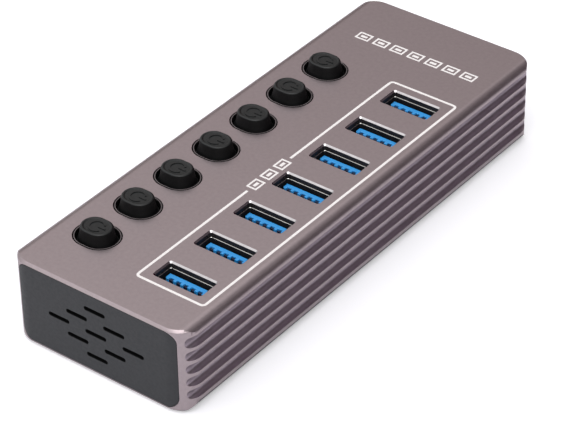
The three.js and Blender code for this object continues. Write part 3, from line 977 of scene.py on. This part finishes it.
def make_button_guide():
    """The strip under the roof, and the seven collars that line the button holes."""
    low, high = node_box("button_guide")
    strip_top = TOP - ROOF_WALL - STRIP_GAP
    strip_low = low.z
    guide = loft(
        *box_rings((low.x, low.y, strip_low), (high.x, high.y, strip_top)), material=BUTTON_PLASTIC
    )
    bores = []
    for n in PORT_NUMBERS:
        centre = node_centre(f"button_{n}")
        outline = slot_outline(COLLAR_OUTER, -0.25, 16)
        bores.append(
            [level(outline, z, centre.x, centre.y) for z in (strip_low - 1, strip_top + 1)]
        )
    boolean(guide, lofts(bores, BUTTON_PLASTIC))
    top = TOP - COLLAR_DROP
    profile = [
        (-0.5, strip_low + 0.02),
        (0.0, strip_low + 0.02),
        (0.0, top - 0.14),
        (-0.06, top - 0.05),
        (-0.12, top),
        (-0.32, top),
        (-0.36, top - 0.05),
        (-0.38, top - 0.2),
        (-0.42, top - 0.7),
        (-0.5, top - 0.9),
    ]
    for n in PORT_NUMBERS:
        centre = node_centre(f"button_{n}")
        # The collar's sides get the deeper black: painted shade.
        collar = ring_solid(
            lambda grow: slot_outline(COLLAR_OUTER, grow, 20), profile, SIDE_SHADE_PLASTIC
        )
        # Upward faces get the grey tone: a painted highlight.
        collar.data.materials.append(COLLAR_HIGHLIGHT_PLASTIC)
        for polygon in collar.data.polygons:
            if polygon.normal.z > 0.8:
                polygon.material_index = 1
        collar.data.transform(Matrix.Translation((centre.x, centre.y, 0)))
        join(guide, collar)
    to_metres(guide)
    settle(guide, "button_collars", "hub", ["button_guide"])


make_buttons()
make_button_guide()

# ---- Printing -------------------------------------------------------------------------------

INK_LOW, INK_HIGH = TOP - 0.05, TOP + 0.025
FRAME_LEFT, FRAME_RIGHT = 2.85, 21.5
FRAME_NEAR, FRAME_FAR = -56.5, 38.5
GAP_NEAR, GAP_FAR = -17.5, -1.5
INK_WIDTH = 0.65
MARK_HEIGHT, MARK_LINE = 2.9, 0.48


def stroke(points, width=INK_WIDTH):
    """An open printed line through points, as an outline."""
    left, right = [], []
    for i, point in enumerate(points):
        before = Vector(points[max(i - 1, 0)])
        after = Vector(points[min(i + 1, len(points) - 1)])
        along = (after - before).normalized()
        across = Vector((-along.y, along.x)) * width / 2
        left.append(tuple(Vector(point) + across))
        right.append(tuple(Vector(point) - across))
    return left + right[::-1]


def frame_points():
    """The printed frame round the sockets, from one end of its gap round to the other."""
    centre_x, centre_y = (FRAME_LEFT + FRAME_RIGHT) / 2, (FRAME_NEAR + FRAME_FAR) / 2
    loop = [
        (x + centre_x, y + centre_y)
        for x, y in rounded_rectangle(
            FRAME_RIGHT - FRAME_LEFT, FRAME_FAR - FRAME_NEAR, 0.9, 5
        )
    ]
    half = len(loop) // 2
    return (
        [(FRAME_LEFT, GAP_NEAR)] + loop[half:] + loop[:half] + [(FRAME_LEFT, GAP_FAR)]
    )


def printed(outlines):
    """Thin raised ink that covers each outline."""
    return lofts([[level(o, INK_LOW), level(o, INK_HIGH)] for o in outlines], INK)


def moved(outline, x, y, turn=0.0):
    """An outline turned by turn, in radians, and then moved."""
    c, s = math.cos(turn), math.sin(turn)
    return [(x + px * c - py * s, y + px * s + py * c) for px, py in outline]


def port_mark(width, height, line, x, y, turn=0.0):
    """A generic socket mark: an open rectangle with a bar along the inside of it."""
    half_w, half_h = width / 2, height / 2
    rim = [
        ((-half_w, -half_h), (half_w, -half_h + line)),
        ((-half_w, half_h - line), (half_w, half_h)),
        ((-half_w, -half_h + line), (-half_w + line, half_h - line)),
        ((half_w - line, -half_h + line), (half_w, half_h - line)),
        ((-half_w + 2.2 * line, -0.15 * height), (half_w - 2.2 * line, 0.12 * height)),
    ]
    return [
        moved([(a[0], a[1]), (b[0], a[1]), (b[0], b[1]), (a[0], b[1])], x, y, turn)
        for a, b in rim
    ]


def make_printing():
    """The frame, and plain socket marks where the photo has words."""
    outline = stroke(frame_points())
    to_settle = [("printed_frame", printed([outline]))]
    title = []
    for i in range(len(PORT_NUMBERS)):
        title += port_mark(3.9, MARK_HEIGHT, MARK_LINE, -14.3 + i * 5.13, 50.9)
    to_settle.append(("printed_port_row", printed(title)))
    label = []
    for i in range(3):
        label += port_mark(
            3.7, MARK_HEIGHT, MARK_LINE, FRAME_LEFT, -4.6 - i * 4.9, math.pi / 2
        )
    to_settle.append(("printed_port_label", printed(label)))
    for name, piece in to_settle:
        to_metres(piece)
        settle(piece, name, "hub")


make_printing()

# ---- Feet and the pieces inside -------------------------------------------------------------


def make_feet():
    """Four round pads with an eased lower edge."""
    for n in range(1, 5):
        low, high = node_box(f"foot_{n}")
        centre = (low + high) / 2
        radius = (high.x - low.x) / 2
        rows = ((0.15, low.z), (0.04, low.z + 0.06), (0, low.z + 0.16), (0, high.z))
        turns = [math.tau * i / 48 for i in range(48)]
        rings = []
        for inset, z in rows:
            reach = radius - inset
            circle = [(reach * math.cos(t), reach * math.sin(t)) for t in turns]
            rings.append(level(circle, z, centre.x, centre.y))
        foot = to_metres(loft(*rings, material=RUBBER))
        settle(foot, f"rubber_foot_{n}", "hub", [f"foot_{n}"])


def dress(node, material, width):
    """A CAD node that stays gets its material and slightly rounded edges."""
    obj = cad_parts[node]
    obj.data.materials.clear()
    obj.data.materials.append(material)
    bevel(obj, width * MM)


make_feet()
dress("main_board", BOARD, 0.1)
for n in PORT_NUMBERS:
    dress(f"switch_body_{n}", COMPONENT, 0.2)
    dress(f"switch_plunger_{n}", COMPONENT, 0.15)
for node in ("hub_chip_1", "hub_chip_2", "inductor", "regulator", "power_jack_body"):
    dress(node, COMPONENT, 0.15)
for node in ("crystal", "capacitor_1", "capacitor_2", "power_jack_pin"):
    dress(node, STEEL, 0.15)
dress("upstream_shell", STEEL, 0.08)
dress("upstream_insert", TONGUE_PLASTIC, 0.12)

# ---- Floor, light and camera ----------------------------------------------------------------


def toward(azimuth, elevation):
    """The direction from the hub to a place, with the angles that a view of it would have."""
    a, e = math.radians(azimuth), math.radians(elevation)
    return Vector((math.sin(a) * math.cos(e), -math.cos(a) * math.cos(e), math.sin(e)))


# The photo's surround is blown out to white, so the floor gives camera rays some light of its own.
FLOOR_LIFT = 0.345
FLOOR_DROP = 0.00002


def make_floor():
    """A white table top just under the feet."""
    floor = make_object(
        lambda bm: bmesh.ops.create_grid(bm, x_segments=1, y_segments=1, size=4), "floor"
    )
    floor.location.z = -FLOOR_DROP
    material = bpy.data.materials.new("white_floor")
    material.use_nodes = True
    nodes, links = material.node_tree.nodes, material.node_tree.links
    surface = nodes["Principled BSDF"]
    surface.inputs["Base Color"].default_value = (0.87, 0.87, 0.91, 1)
    surface.inputs["Roughness"].default_value = 1.0
    surface.inputs["Specular IOR Level"].default_value = 0.0
    surface.inputs["Emission Color"].default_value = (1, 1, 1, 1)
    lift = nodes.new("ShaderNodeMath")
    lift.operation = "MULTIPLY"
    lift.inputs[1].default_value = FLOOR_LIFT
    links.new(nodes.new("ShaderNodeLightPath").outputs["Is Camera Ray"], lift.inputs[0])
    links.new(lift.outputs["Value"], surface.inputs["Emission Strength"])
    floor.data.materials.append(material)


# Soft areas of the surrounding studio: azimuth, elevation, inner and outer radius in degrees,
# and how much brightness each adds to STUDIO in red, green and blue. The last two are dark areas.
SOFT_AREAS = (
    (38, 56, 12, 32, (2.3, 2.3, 2.3)),
    (-40, 42, 10, 50, (0.45, 0.45, 0.46)),
    (0, 90, 10, 62, (0.16, 0.16, 0.16)),
    (223, 54, 10, 32, (0.62, 0.62, 0.62)),
    (208, 17, 14, 40, (-0.50, -0.54, -0.55)),
    (140, 10, 38, 66, (-0.50, -0.517, -0.503)),
)
STUDIO = (0.58, 0.578, 0.575)


def make_world():
    """A soft studio that lights the hub, and plain white where the camera looks at it."""
    world = bpy.data.worlds.new("studio")
    world.use_nodes = True
    nodes, links = world.node_tree.nodes, world.node_tree.links
    direction = nodes.new("ShaderNodeTexCoord").outputs["Generated"]
    total = nodes.new("ShaderNodeCombineXYZ")
    for socket, value in zip(total.inputs, STUDIO):
        socket.default_value = value
    total = total.outputs["Vector"]
    for azimuth, elevation, inner, outer, colour in SOFT_AREAS:
        dot = nodes.new("ShaderNodeVectorMath")
        dot.operation = "DOT_PRODUCT"
        dot.inputs[1].default_value = toward(azimuth, elevation)
        links.new(direction, dot.inputs[0])
        fade = nodes.new("ShaderNodeMapRange")
        fade.interpolation_type = "SMOOTHSTEP"
        fade.inputs["From Min"].default_value = math.cos(math.radians(outer))
        fade.inputs["From Max"].default_value = math.cos(math.radians(inner))
        links.new(dot.outputs["Value"], fade.inputs["Value"])
        amount = nodes.new("ShaderNodeVectorMath")
        amount.operation = "SCALE"
        amount.inputs[0].default_value = colour
        links.new(fade.outputs["Result"], amount.inputs["Scale"])
        added = nodes.new("ShaderNodeVectorMath")
        links.new(total, added.inputs[0])
        links.new(amount.outputs["Vector"], added.inputs[1])
        total = added.outputs["Vector"]
    background = nodes["Background"]
    links.new(total, background.inputs["Color"])
    seen = nodes.new("ShaderNodeBackground")
    seen.inputs["Color"].default_value = (1, 1, 1, 1)
    mixed = nodes.new("ShaderNodeMixShader")
    links.new(nodes.new("ShaderNodeLightPath").outputs["Is Camera Ray"], mixed.inputs["Fac"])
    links.new(background.outputs["Background"], mixed.inputs[1])
    links.new(seen.outputs["Background"], mixed.inputs[2])
    links.new(mixed.outputs["Shader"], nodes["World Output"].inputs["Surface"])
    bpy.context.scene.world = world


CAMERA_AZIMUTH, CAMERA_ELEVATION = 37.88, 35.83
CAMERA_ROLL = -0.94
CAMERA_DISTANCE = 0.5933
CAMERA_LENS = 167.07
SENSOR_WIDTH = 36
AIM = Vector((15.97, -19.82, TOP + 0.09)) * MM


def make_camera():
    """The camera that was solved from the photo, with a slight roll."""
    camera = bpy.data.objects.new("camera", bpy.data.cameras.new("camera"))
    bpy.context.scene.collection.objects.link(camera)
    camera.data.sensor_width = SENSOR_WIDTH
    camera.data.lens = CAMERA_LENS
    back = toward(CAMERA_AZIMUTH, CAMERA_ELEVATION)
    azimuth, roll = math.radians(CAMERA_AZIMUTH), math.radians(CAMERA_ROLL)
    level_right = Vector((math.cos(azimuth), math.sin(azimuth), 0))
    level_up = back.cross(level_right)
    right = level_right * math.cos(roll) + level_up * math.sin(roll)
    pose = Matrix((right, back.cross(right), back)).transposed().to_4x4()
    pose.translation = AIM + back * CAMERA_DISTANCE
    camera.matrix_world = pose
    bpy.context.scene.camera = camera


make_floor()
make_world()
make_camera()
bpy.context.scene.view_settings.view_transform = "Standard"
